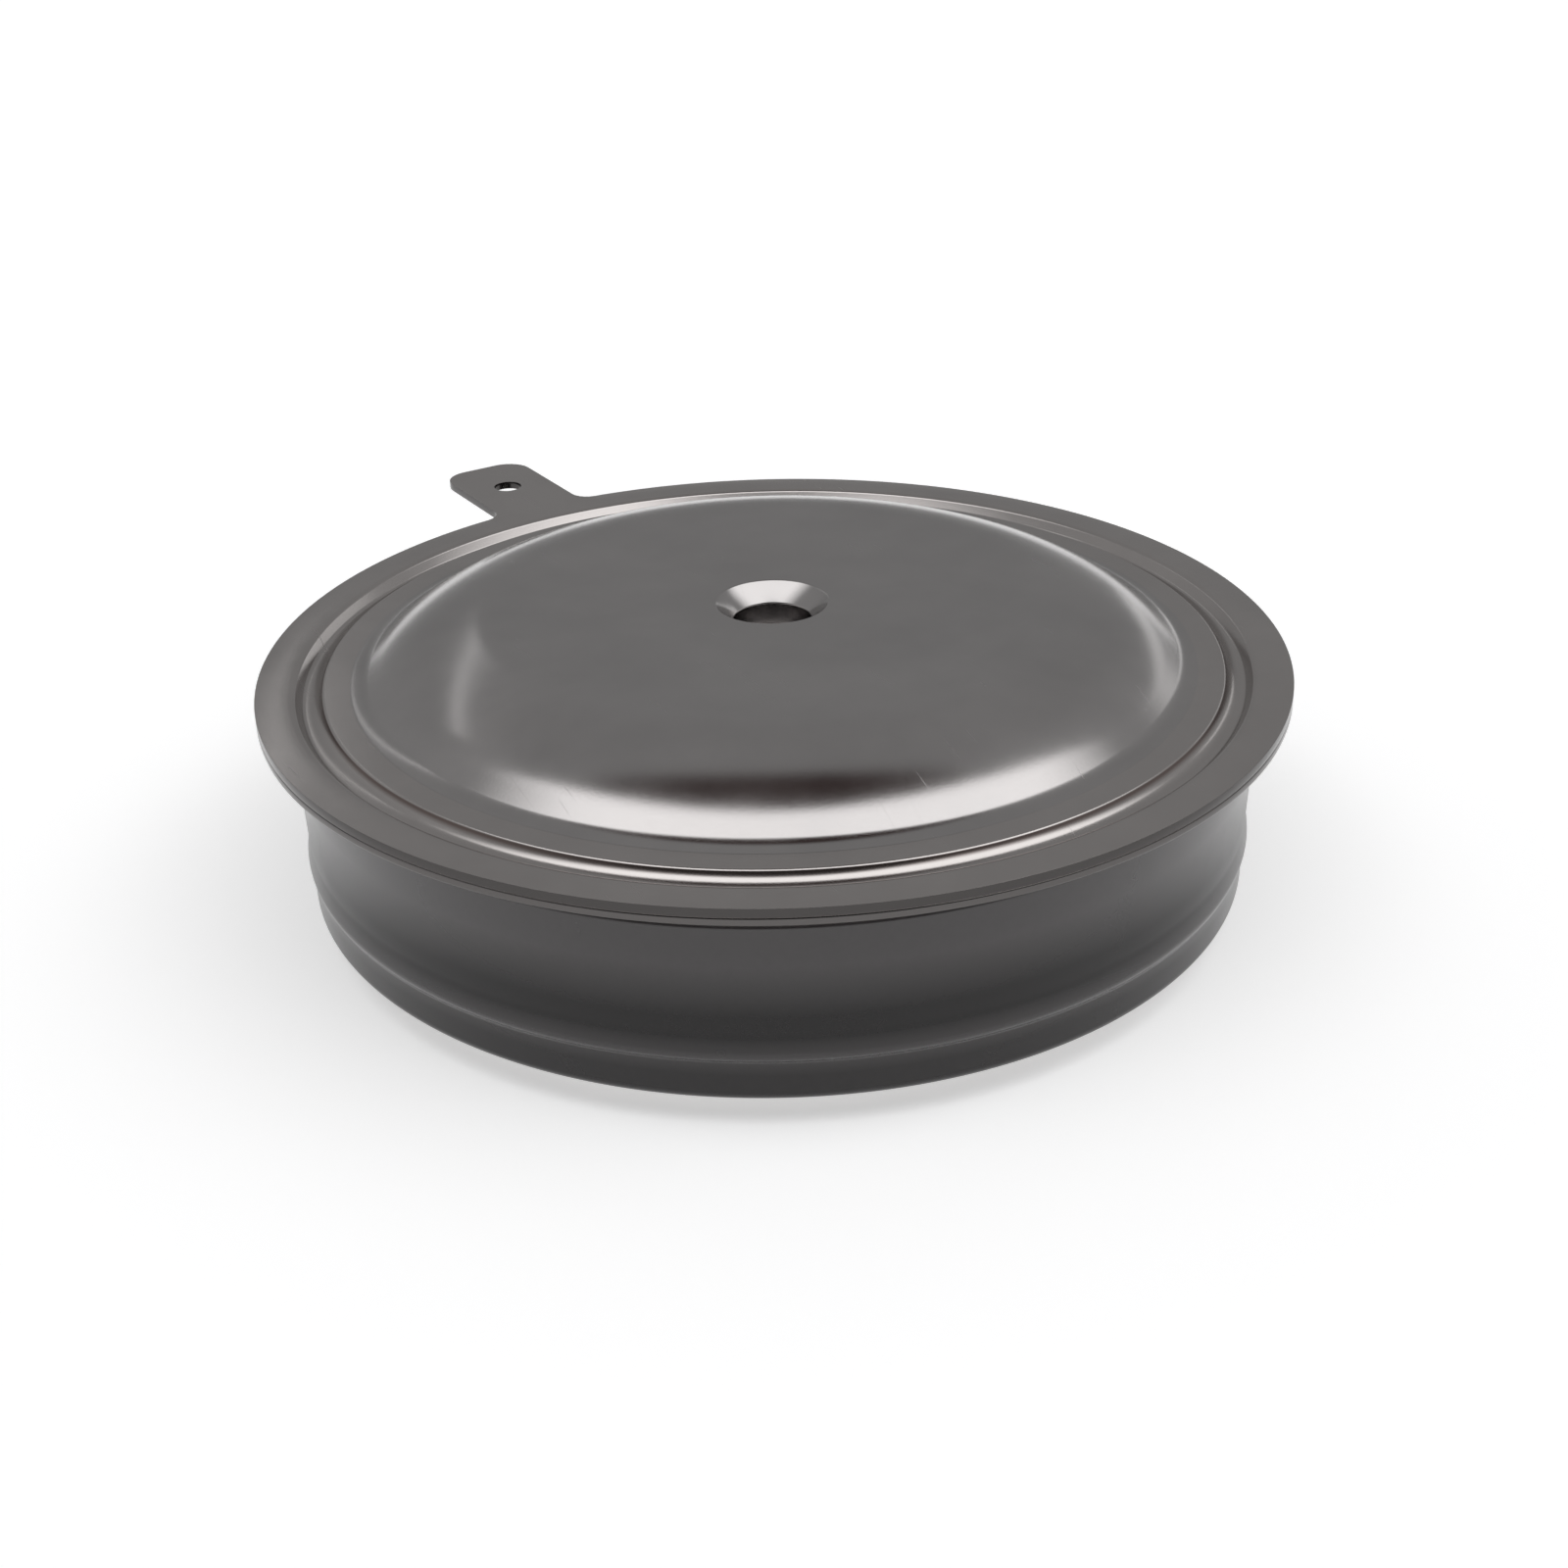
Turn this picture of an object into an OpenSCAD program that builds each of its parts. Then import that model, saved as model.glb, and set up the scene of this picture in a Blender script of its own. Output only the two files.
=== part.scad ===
// Disc thyristor: a sealed press pack with a nickel-plated lid, a ceramic wall and two plug tabs.
// Millimetres, +Z up. The origin is the centre of the lower contact face, and both tabs point along +Y.

/* [Housing] */
// Height between the two contact faces
total_h = 14; // [12.6:0.1:18]
// Diameter of the lid's rim
flange_d = 48; // [43:0.2:56]
// Thickness of the flange sheets
sheet_t = 0.4; // [0.3:0.05:0.5]

/* [Lid] */
// Height of the upper contact face above the lid's rim
lid_h = 2.6; // [2.2:0.1:3.2]
// Radial width of the rim, from its edge to the pressed groove's centre line
rim_w = 2.4; // [2.1:0.1:3]
// Radial width of the land between that line and the foot of the pole's shoulder
land_w = 1.9; // [1.6:0.05:2.6]
// Radial width of the pole's shoulder, from its foot to the flat contact face
shoulder_w = 7.2; // [5.8:0.05:8]
// Radius of the crown where the contact face rolls over into the shoulder
crown_r = 9.7; // [6:0.1:10]
// Height of the brazed edge at the foot of the shoulder
brim_t = 0.15; // [0.1:0.05:0.3]
// Depth of the pressed groove
groove_depth = 0.55; // [0.35:0.05:0.7]
// Radius at the bottom of the groove
groove_r = 0.45; // [0.4:0.05:0.5]
// Inner bend radius of the groove's two lips
lip_bend_r = 0.16; // [0.1:0.02:0.3]

/* [Centring holes] */
// Diameter of the centring hole in each contact face
centring_d = 3.6; // [3:0.1:4.5]
// Depth of the centring hole
centring_depth = 2; // [1.6:0.1:2.4]
// Diameter of the countersink at its mouth
countersink_d = 5.3; // [4.8:0.1:6]

/* [Auxiliary cathode tab] */
// Width of the tab
tab_w = 4.8; // [3.6:0.1:6.3]
// Length of the tab past the rim's edge
tab_len = 7.6; // [6.5:0.1:12]
// Radius of the tab's tip corners
tab_corner_r = 1.4; // [0.6:0.1:1.6]
// Radius of the fillets at the tab's root
tab_root_r = 1; // [0.5:0.1:2]
// Diameter of the hole in the tab
tab_hole_d = 1.5; // [1.2:0.1:2]
// Distance from the tab's tip to the hole's centre
tab_hole_set = 3.6; // [2.4:0.1:4.5]

/* [Ceramic wall] */
// Overhang of the rim past the top of the wall
overhang = 1.5; // [1.2:0.1:2]
// Thickness of the wall at its top
wall_t = 3.9; // [3.4:0.1:4.4]
// Step of the waist, above the base ridge, back from the top of the wall
waist_set = 0.25; // [0.1:0.05:0.4]
// Step of the base ridge back from the top of the wall
ridge_set = 0.1; // [0:0.05:0.2]
// Step of the base band, below the ridge, back from the top of the wall
base_set = 0.4; // [0.3:0.05:0.8]
// Height of the ridge's crest above the lower contact face
ridge_z = 3.65; // [3.2:0.05:4]
// Radius of the ridge's rounded crest
ridge_r = 0.5; // [0.4:0.05:0.6]
// Radius of the wall's rounded bottom edge
base_edge_r = 0.8; // [0.4:0.1:1.1]
// Chamfer on the wall's top edge
wall_chamfer = 0.35; // [0.2:0.05:0.6]

/* [Flanges] */
// Clearance between the lid's groove and the weld ring under it
groove_gap = 0.05; // [0.03:0.01:0.2]
// Radial distance from the groove's centre line to the weld ring's rise
joggle_set = 0.4; // [0.3:0.05:0.6]
// Inner radius of the weld ring's upper bend
joggle_bend_r = 0.12; // [0.08:0.01:0.2]
// Step of the brazed sheets back from the ceramic's faces
braze_set = 0.3; // [0.1:0.05:0.5]
// Height of the lower flange above the lower contact face
base_step = 0.9; // [0.7:0.05:1.2]
// Lap of the lower pole's shoulder under the lower flange
base_lap = 2.2; // [1.6:0.1:3]
// Radial width of the lower pole's shoulder, from its edge to the contact face
base_shoulder_w = 2.4; // [1.8:0.1:3]
// Radius of the lower pole's crown
base_crown_r = 2; // [1.2:0.1:2.4]

/* [Inner stack] */
// Radial width of the centring ring's rim round the lower disc
ring_rim_w = 1.4; // [1:0.1:1.8]
// Radial width of the centring ring's ledge under the lower disc
ring_ledge_w = 1.9; // [1.5:0.1:2.6]
// Thickness of the lower molybdenum disc
anode_disc_t = 1.6; // [1.2:0.1:2]
// Thickness of the silicon wafer
wafer_t = 0.3; // [0.2:0.05:0.5]
// Step of the wafer's edge back from the molybdenum disc
wafer_set = 0.1; // [0.05:0.05:0.4]
// Thickness of the upper molybdenum disc
cathode_disc_t = 1; // [0.8:0.1:1.4]
// Radial width of the silicone bead round the wafer's edge
seal_w = 2; // [1.6:0.1:2.6]
// Height of that bead
seal_h = 0.8; // [0.4:0.1:0.9]
// Clearance round the parts of the stack
stack_gap = 0.1; // [0.05:0.05:0.2]

/* [Gate] */
// Diameter of the gate pocket in the upper pole
pocket_d = 4.2; // [3.8:0.1:5]
// Copper left between the pocket and the centring hole
pocket_web = 0.9; // [0.7:0.1:1.2]
// Wall of the gate insulator
insulator_wall = 0.55; // [0.4:0.05:0.6]
// Diameter of the gate pin's tip
pin_tip_d = 1.4; // [1:0.1:1.8]
// Diameter of the spring's wire
spring_wire_d = 0.3; // [0.2:0.05:0.35]
// Number of turns in the spring
spring_turns = 4; // [3:1:5]
// Diameter of the gate lead
lead_d = 0.5; // [0.4:0.05:0.6]
// Outer diameter of the sleeve on the gate lead
sleeve_d = 1.1; // [1:0.05:1.3]
// Outer diameter of the gate tube
tube_d = 2.2; // [1.8:0.1:2.6]
// Width of the collar on the gate tube
collar_w = 0.7; // [0.5:0.1:0.9]
// Thickness of the collar on the gate tube
collar_t = 0.6; // [0.5:0.05:0.9]
// Length of tube that shows past the terminal
tube_tail = 1.2; // [0.8:0.1:2]
// Width of the gate terminal's blade
blade_w = 2.8; // [2.4:0.1:3.4]
// Thickness of the gate terminal
blade_t = 0.5; // [0.4:0.05:0.8]
// Length of the blade, from the terminal's eye to its tip
blade_len = 8.4; // [7:0.1:12]
// Width of the terminal's eye round the tube
eye_w = 0.8; // [0.6:0.1:1]
// Depth of the eye below the ceramic's top face
eye_drop = 0.35; // [0.3:0.05:0.6]
// Inner radius of the terminal's bend
bend_r = 0.4; // [0.3:0.1:0.8]
// Diameter of the hole in the blade
blade_hole_d = 1.2; // [1:0.1:1.5]
// Clearance of the gate's fitted parts
gate_fit = 0.05; // [0.02:0.01:0.1]

/* [Hidden] */
$fn = 96;
past = 1;
flange_r = flange_d / 2;
rim_z = total_h - lid_h;
weld_z = rim_z - sheet_t;
joggle_h = groove_depth + groove_gap;
wall_top_z = weld_z - sheet_t - joggle_h;
wall_base_z = base_step + sheet_t;
groove_lip_r = lip_bend_r + sheet_t;
groove_half_w = ogee_run(groove_r + groove_lip_r, groove_depth);
groove_at_r = flange_r - rim_w;
shoulder_r = groove_at_r - land_w;
contact_r = shoulder_r - shoulder_w;
tab_reach = flange_r + tab_len;
tab_root_y = (groove_at_r + groove_half_w + flange_r) / 2;
weld_w = rim_w - joggle_set - groove_half_w;
wall_r = flange_r - overhang;
waist_r = wall_r - waist_set;
base_r = wall_r - base_set;
bore_r = wall_r - wall_t;
anode_disc_r = bore_r - ring_rim_w - 2 * stack_gap;
wafer_r = anode_disc_r - wafer_set;
cathode_disc_r = wafer_r - seal_w - stack_gap;
spigot_r = anode_disc_r - ring_ledge_w - stack_gap;
base_contact_r = spigot_r + base_lap - base_shoulder_w;
slot_w = sleeve_d + 2 * stack_gap;
gate_z = wall_top_z - eye_drop - eye_w - tube_d / 2;
cathode_pole_z = gate_z - slot_w / 2;
cathode_disc_z = cathode_pole_z - cathode_disc_t;
wafer_z = cathode_disc_z - wafer_t;
anode_disc_z = wafer_z - anode_disc_t;
pocket_top_z = total_h - centring_depth - pocket_web;
insulator_d = pocket_d - 2 * gate_fit;
insulator_bore_d = insulator_d - 2 * insulator_wall;
insulator_top_z = pocket_top_z - gate_fit;
insulator_cap_z = insulator_top_z - insulator_wall;
pin_head_d = insulator_bore_d - 4 * gate_fit;
pin_head_h = slot_w;
pin_head_top_z = gate_z + pin_head_h / 2;
spring_d = pin_head_d - spring_wire_d - 2 * gate_fit;
crown_share = 0.9;
spring_rings = 20;
spring_sides = 8;
spot_face_r = tube_d / 2 + max(collar_w, eye_w) + stack_gap;
collar_y = wall_r + stack_gap;
spot_face_y = collar_y - collar_t;
blade_reach = collar_y + blade_len;
blade_z = gate_z - tube_d / 2 - eye_w - blade_t;

// Run of an S-curve made of two tangent arcs, from the sum of their radii and the drop
function ogee_run(radii, drop) = sqrt(2 * radii * drop - drop * drop);

// Sum of the two radii of an S-curve, from its run and its drop
function ogee_radii(run, drop) = (run * run + drop * drop) / (2 * drop);

// Area below an S-curve that falls from (flat, 0) to (flat + run, -drop), down to -depth
module ogee(flat, run, drop, crown_r, depth) {
    radii = ogee_radii(run, drop);
    crown = min(crown_r, radii * crown_share);
    foot = radii - crown;
    crown_at = [flat, -crown];
    foot_at = [flat + run, foot - drop];
    intersection() {
        translate([0, -depth]) square([flat + run, depth]);
        union() {
            translate([0, -depth]) square([flat, depth]);
            translate(crown_at) circle(crown);
            difference() {
                polygon([[0, -depth - crown], [foot_at[0], -depth - crown], foot_at, crown_at, [0, -crown]]);
                translate(foot_at) circle(foot);
            }
        }
    }
}

// Area that a round-bottomed groove with rounded lips takes out of a face at height 0
module groove_cut(bottom_r, lip_r) {
    half_w = ogee_run(bottom_r + lip_r, groove_depth);
    bottom_at = [0, bottom_r - groove_depth];
    translate(bottom_at) circle(bottom_r);
    difference() {
        polygon([bottom_at, [half_w, -lip_r], [half_w, past], [-half_w, past], [-half_w, -lip_r]]);
        for (side = [-1, 1]) translate([side * half_w, -lip_r]) circle(lip_r);
    }
}

// Area of a band from one radius to another, between two heights
module band(inner_r, outer_r, low_z, high_z) {
    translate([inner_r, low_z]) square([outer_r - inner_r, high_z - low_z]);
}

// Round bar or bore along +Y at the height of the gate
module along_gate(d, from_y, to_y) {
    translate([0, from_y, gate_z]) rotate([-90, 0, 0]) cylinder(d = d, h = to_y - from_y);
}

// Slot along +Y with a round roof, open downwards, for the gate lead's sleeve
module lead_slot(from_y, to_y, low_z) {
    along_gate(slot_w, from_y, to_y);
    translate([-slot_w / 2, from_y, low_z]) cube([slot_w, to_y - from_y, gate_z - low_z]);
}

// Countersunk hole, mouth at height 0, running down
module centring_hole() {
    sink_h = (countersink_d - centring_d) / 2;
    translate([0, 0, -centring_depth]) cylinder(d = centring_d, h = centring_depth + past);
    translate([0, 0, -sink_h]) cylinder(d1 = centring_d, d2 = countersink_d, h = sink_h);
}

// Strip from the middle of the rim to a tip with rounded corners, in plan
module tab_outline(w, from_y, tip_y, corner_r) {
    translate([-w / 2, from_y]) square([w, tip_y - corner_r - from_y]);
    translate([corner_r - w / 2, from_y]) square([w - 2 * corner_r, tip_y - from_y]);
    for (side = [-1, 1]) translate([side * (w / 2 - corner_r), tip_y - corner_r]) circle(corner_r);
}

// Concave fillet between the rim's edge and one side of the tab, in plan
module tab_root_fillet() {
    fillet_x = tab_w / 2 + tab_root_r;
    fillet_y = sqrt(pow(flange_r + tab_root_r, 2) - fillet_x * fillet_x);
    inner = tab_root_y / (flange_r + tab_root_r);
    difference() {
        polygon([[0, tab_root_y], [fillet_x * inner, fillet_y * inner], [fillet_x, fillet_y], [0, fillet_y]]);
        translate([fillet_x, fillet_y]) circle(tab_root_r);
    }
}

// Glazed alumina wall with a rounded ridge, a base band and a flat at the gate tube
module ceramic_ring() color("dimgray") difference() {
    rotate_extrude() {
        polygon([
            [bore_r, wall_base_z], [base_r - base_edge_r, wall_base_z],
            [base_r, wall_base_z + base_edge_r], [base_r, ridge_z], [waist_r, ridge_z],
            [wall_r, wall_top_z - wall_chamfer],
            [wall_r - wall_chamfer, wall_top_z], [bore_r, wall_top_z]]);
        translate([base_r - base_edge_r, wall_base_z + base_edge_r]) circle(base_edge_r);
        translate([wall_r - ridge_set - ridge_r, ridge_z]) circle(ridge_r);
    }
    along_gate(tube_d + 2 * gate_fit, 0, flange_r);
    along_gate(2 * spot_face_r, spot_face_y, flange_r);
}

// Sheet brazed on the ceramic's top face, joggled up to the rim
module upper_weld_ring() color("silver") {
    ring_w = flange_r - bore_r - braze_set;
    low = -past - joggle_h;
    rotate_extrude() translate([flange_r, weld_z]) mirror([1, 0]) difference() {
        union() {
            ogee(weld_w, groove_half_w, joggle_h, joggle_bend_r + sheet_t, -low);
            band(0, ring_w, low, -joggle_h);
        }
        translate([0, -sheet_t]) {
            ogee(weld_w, groove_half_w, joggle_h, joggle_bend_r, -low);
            band(-past, ring_w + past, low, -joggle_h);
            band(-past, weld_w, low, 0);
        }
    }
}

// Lid sheet with its pressed groove, its rim and the auxiliary cathode tab in one piece
module cathode_flange() color("silver") difference() {
    inner_r = spigot_r + stack_gap;
    low = -groove_depth - sheet_t - past;
    union() {
        translate([0, 0, rim_z]) rotate_extrude() difference() {
            band(inner_r, flange_r, low, 0);
            translate([groove_at_r, 0]) groove_cut(groove_r, groove_lip_r);
            translate([0, -sheet_t]) difference() {
                band(inner_r - past, flange_r + past, low - past, 0);
                translate([groove_at_r, 0]) groove_cut(groove_r + sheet_t, groove_lip_r - sheet_t);
            }
        }
        translate([0, 0, weld_z]) linear_extrude(sheet_t) {
            tab_outline(tab_w, tab_root_y, tab_reach, tab_corner_r);
            tab_root_fillet();
            mirror([1, 0]) tab_root_fillet();
        }
    }
    translate([0, tab_reach - tab_hole_set, weld_z - past]) cylinder(d = tab_hole_d, h = sheet_t + 2 * past);
}

// Copper pole with an S-curved shoulder over the lid sheet, a gate pocket and a slot for the lead
module cathode_pole() color("lightgray") difference() {
    union() {
        translate([0, 0, total_h]) rotate_extrude()
            ogee(contact_r, shoulder_w, lid_h - brim_t, crown_r, lid_h);
        translate([0, 0, cathode_pole_z]) cylinder(r = spigot_r, h = rim_z + brim_t - cathode_pole_z);
    }
    translate([0, 0, total_h]) centring_hole();
    translate([0, 0, cathode_pole_z - past]) cylinder(d = pocket_d, h = pocket_top_z - cathode_pole_z + past);
    lead_slot(0, spigot_r + past, cathode_pole_z - past);
}

// Sheet ring brazed to the ceramic's bottom face and to the lower pole
module lower_flange() color("silver") rotate_extrude()
    band(spigot_r + stack_gap, base_r - base_edge_r - braze_set, base_step, wall_base_z);

// Copper pole with the lower contact face
module anode_pole() color("lightgray") difference() {
    union() {
        mirror([0, 0, 1]) rotate_extrude()
            ogee(base_contact_r, base_shoulder_w, base_step - brim_t, base_crown_r, base_step);
        translate([0, 0, base_step - brim_t]) cylinder(r = spigot_r, h = anode_disc_z - base_step + brim_t);
    }
    mirror([0, 0, 1]) centring_hole();
}

// Tube brazed through the ceramic, with a collar against the flat
module gate_tube() color("silver") difference() {
    union() {
        along_gate(tube_d, bore_r - stack_gap, collar_y + blade_t + tube_tail);
        along_gate(tube_d + 2 * collar_w, spot_face_y, collar_y);
    }
    along_gate(lead_d + 2 * gate_fit, 0, blade_reach);
}

// Side view of the bent terminal strip: down from the tube, then out along the blade
module terminal_bend() {
    outer_r = bend_r + blade_t;
    corner = [collar_y, blade_z];
    difference() {
        union() {
            translate(corner) square([blade_t, gate_z - blade_z]);
            translate(corner) square([blade_len, blade_t]);
            translate(corner) square(outer_r);
        }
        difference() {
            translate(corner - [past, past]) square(outer_r + past);
            translate(corner + [outer_r, outer_r]) circle(outer_r);
        }
        translate(corner + [outer_r, outer_r]) circle(bend_r);
    }
}

// Stamped plug tab with an eye on the gate tube
module gate_terminal() color("silver") difference() {
    tip_r = blade_w / 4;
    union() {
        along_gate(tube_d + 2 * eye_w, collar_y, collar_y + blade_t);
        intersection() {
            rotate([90, 0, 90]) linear_extrude(blade_w, center = true) terminal_bend();
            translate([0, 0, blade_z - past]) linear_extrude(gate_z)
                tab_outline(blade_w, collar_y - past, blade_reach, tip_r);
        }
    }
    along_gate(tube_d + 2 * gate_fit, 0, blade_reach);
    translate([0, blade_reach - blade_w, blade_z - past]) cylinder(d = blade_hole_d, h = blade_t + 2 * past);
}

// Molybdenum disc that carries the wafer
module anode_disc() color("slategray") translate([0, 0, anode_disc_z])
    cylinder(r = anode_disc_r, h = anode_disc_t);

// Silicon wafer
module silicon_wafer() color("darkslategray") translate([0, 0, wafer_z])
    cylinder(r = wafer_r, h = wafer_t);

// Silicone bead on the wafer's edge, round the upper disc
module edge_seal() color("ivory") {
    slope_w = seal_w / 4;
    rotate_extrude() translate([wafer_r - seal_w, cathode_disc_z])
        polygon([[0, 0], [seal_w, 0], [seal_w - slope_w, seal_h], [slope_w, seal_h]]);
}

// Molybdenum disc on the wafer, with a hole for the gate
module cathode_disc() color("slategray") translate([0, 0, cathode_disc_z]) difference() {
    cylinder(r = cathode_disc_r, h = cathode_disc_t);
    translate([0, 0, -past]) cylinder(d = pocket_d, h = cathode_disc_t + 2 * past);
}

// Ring that stands on the lower flange and centres the disc and the wafer in the wall
module centering_ring() color("white") rotate_extrude() difference() {
    band(spigot_r + stack_gap, bore_r - stack_gap, wall_base_z, cathode_disc_z);
    band(0, anode_disc_r + stack_gap, anode_disc_z, cathode_disc_z + past);
}

// Pin that presses on the wafer, with a cross hole for the lead
module gate_pin() color("gold") difference() {
    union() {
        translate([0, 0, cathode_disc_z]) cylinder(d = pin_tip_d, h = gate_z - cathode_disc_z);
        translate([0, 0, gate_z - pin_head_h / 2]) cylinder(d = pin_head_d, h = pin_head_h);
    }
    along_gate(lead_d + 2 * gate_fit, 0, pin_head_d);
}

// Point on the spring's wire: turn angle along the coil, angle round the wire
function spring_point(turn, round_wire, pitch) =
    let (reach = (spring_d + spring_wire_d * cos(round_wire)) / 2)
    [reach * cos(turn), reach * sin(turn), pitch * turn / 360 + spring_wire_d / 2 * sin(round_wire)];

// Coil spring between the pin's head and the insulator's cap
module gate_spring() color("gray") {
    room = insulator_cap_z - pin_head_top_z - 2 * gate_fit - spring_wire_d;
    pitch = room / spring_turns;
    rings = spring_turns * spring_rings;
    points = [for (i = [0:rings]) for (j = [0:spring_sides - 1])
        spring_point(360 * i / spring_rings, 360 * j / spring_sides, pitch)];
    walls = [for (i = [0:rings - 1]) for (j = [0:spring_sides - 1])
        let (k = (j + 1) % spring_sides, a = i * spring_sides, b = a + spring_sides)
        [a + j, b + j, b + k, a + k]];
    first = [for (j = [0:spring_sides - 1]) j];
    last = [for (j = [spring_sides - 1:-1:0]) rings * spring_sides + j];
    translate([0, 0, pin_head_top_z + gate_fit + spring_wire_d / 2])
        polyhedron(points, concat(walls, [first, last]), convexity = 10);
}

// Cup that insulates the pin and the spring from the pole and the upper disc
module gate_insulator() color("white") difference() {
    low_z = cathode_disc_z + stack_gap;
    translate([0, 0, low_z]) cylinder(d = insulator_d, h = insulator_top_z - low_z);
    translate([0, 0, low_z - past]) cylinder(d = insulator_bore_d, h = insulator_cap_z - low_z + past);
    lead_slot(0, pocket_d, low_z - past);
}

// Wire from the pin to the end of the gate tube
module gate_lead() color("goldenrod")
    along_gate(lead_d, gate_fit, collar_y + blade_t + tube_tail);

// Sleeve on the wire from the pin to the ceramic wall
module lead_sleeve() color("white") difference() {
    along_gate(sleeve_d, pin_head_d / 2 + stack_gap, bore_r - 2 * stack_gap);
    along_gate(lead_d + 2 * gate_fit, 0, flange_r);
}

ceramic_ring();
upper_weld_ring();
cathode_flange();
cathode_pole();
lower_flange();
anode_pole();
gate_tube();
gate_terminal();
anode_disc();
silicon_wafer();
edge_seal();
cathode_disc();
centering_ring();
gate_pin();
gate_spring();
gate_insulator();
gate_lead();
lead_sleeve();
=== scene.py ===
import math
import bmesh
import bpy
from mathutils import Matrix, Vector


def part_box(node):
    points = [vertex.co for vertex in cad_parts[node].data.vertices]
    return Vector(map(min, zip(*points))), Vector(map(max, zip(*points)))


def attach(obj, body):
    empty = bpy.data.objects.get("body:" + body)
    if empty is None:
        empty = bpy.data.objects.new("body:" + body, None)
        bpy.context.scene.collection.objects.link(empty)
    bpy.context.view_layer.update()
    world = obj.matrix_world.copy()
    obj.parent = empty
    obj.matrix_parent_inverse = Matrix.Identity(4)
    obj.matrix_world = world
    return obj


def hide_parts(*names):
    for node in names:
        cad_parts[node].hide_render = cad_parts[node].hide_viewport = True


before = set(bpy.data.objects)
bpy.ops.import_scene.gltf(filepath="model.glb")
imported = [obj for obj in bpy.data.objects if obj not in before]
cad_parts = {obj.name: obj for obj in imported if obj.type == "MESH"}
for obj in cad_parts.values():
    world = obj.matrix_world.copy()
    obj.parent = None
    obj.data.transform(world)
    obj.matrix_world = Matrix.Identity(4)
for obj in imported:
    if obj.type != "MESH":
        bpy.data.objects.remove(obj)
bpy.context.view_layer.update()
mm = 0.001
sharpAngle = math.radians(35)
mergeGap = 1e-7
print("frame loaded:", len(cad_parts), "nodes")


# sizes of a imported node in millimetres
def nodeBox(node):
    low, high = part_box(node)
    return low / mm, high / mm


# profile lines: r runs along +X and z up, and a tip is the last vertex of the line
def startAt(bm, r, z):
    return bm.verts.new((r * mm, 0, z * mm))


def lineTo(bm, tip, r, z):
    grown = bmesh.ops.extrude_vert_indiv(bm, verts=[tip])
    grown["verts"][0].co = (r * mm, 0, z * mm)
    return grown["verts"][0]


# swings the tip round a centre, clockwise for positive degrees
def arcTo(bm, tip, r, z, degrees, steps):
    swung = bmesh.ops.spin(bm, geom=[tip], cent=(r * mm, 0, z * mm), axis=(0, 1, 0),
                           angle=math.radians(degrees), steps=steps, use_duplicate=False)
    return next(g for g in swung["geom_last"] if isinstance(g, bmesh.types.BMVert))


# a crown arc, a straight flank and a foot arc, from a flat at topZ down to a flat at footZ
def flankTo(bm, tip, flatR, topZ, footR, footZ, crownR, hollowR, steps):
    run, drop, radii = footR - flatR, topZ - footZ, crownR + hollowR
    reach = math.hypot(run, radii - drop)
    lean = math.asin(radii / reach) - math.atan2(radii - drop, run)
    turn = math.degrees(lean)
    tip = arcTo(bm, tip, flatR, topZ - crownR, turn, steps)
    tip = lineTo(bm, tip, footR - hollowR * math.sin(lean), footZ + hollowR * (1 - math.cos(lean)))
    return arcTo(bm, tip, footR, footZ + hollowR, -turn, steps)


# two tangent arcs from a flat at topZ down to a flat at footZ
def sCurveTo(bm, tip, flatR, topZ, footR, footZ, crownR, steps):
    run, drop = abs(footR - flatR), abs(topZ - footZ)
    radii = (run * run + drop * drop) / (2 * drop)
    side = 1 if footR > flatR else -1
    up = 1 if topZ > footZ else -1
    turn = math.degrees(math.asin(run / radii)) * side * up
    tip = arcTo(bm, tip, flatR, topZ - up * crownR, turn, steps)
    return arcTo(bm, tip, footR, footZ + up * (radii - crownR), -turn, steps)


def roundCorners(bm, corners, radius, steps=3):
    bmesh.ops.bevel(bm, geom=corners, offset=radius * mm, offset_type="OFFSET", segments=steps,
                    profile=0.5, affect="VERTICES", material=-1)


def turnRound(bm, steps):
    bmesh.ops.spin(bm, geom=bm.verts[:] + bm.edges[:], cent=(0, 0, 0), axis=(0, 0, 1),
                   angle=math.tau, steps=steps, use_merge=True, use_duplicate=False)
    bmesh.ops.remove_doubles(bm, verts=bm.verts[:], dist=mergeGap)
    bmesh.ops.recalc_face_normals(bm, faces=bm.faces[:])


def makePiece(name, bm, material, slot, *nodes):
    mesh = bpy.data.meshes.new(name)
    bm.to_mesh(mesh)
    bm.free()
    mesh.shade_smooth()
    mesh.set_sharp_from_angle(angle=sharpAngle)
    mesh.materials.append(material)
    piece = bpy.data.objects.new(name, mesh)
    bpy.context.scene.collection.objects.link(piece)
    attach(piece, "root")
    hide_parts(*nodes)
    print("piece", name, len(mesh.polygons), "faces")
    return piece


# cutting tools: a round bar along +Y, and a block between two corners
def roundBar(radius, fromY, toY, z, steps=48):
    bm = bmesh.new()
    bmesh.ops.create_cone(bm, cap_ends=True, segments=steps, radius1=radius * mm, radius2=radius * mm,
                          depth=(toY - fromY) * mm)
    middle = Matrix.Translation((0, (fromY + toY) / 2 * mm, z * mm))
    bmesh.ops.transform(bm, matrix=middle @ Matrix.Rotation(math.pi / 2, 4, "X"), verts=bm.verts[:])
    return bm


def block(low, high):
    bm = bmesh.new()
    low, high = Vector(low) * mm, Vector(high) * mm
    place = Matrix.Translation((low + high) / 2) @ Matrix.Diagonal((*(high - low), 1))
    bmesh.ops.create_cube(bm, size=1, matrix=place)
    return bm


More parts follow.
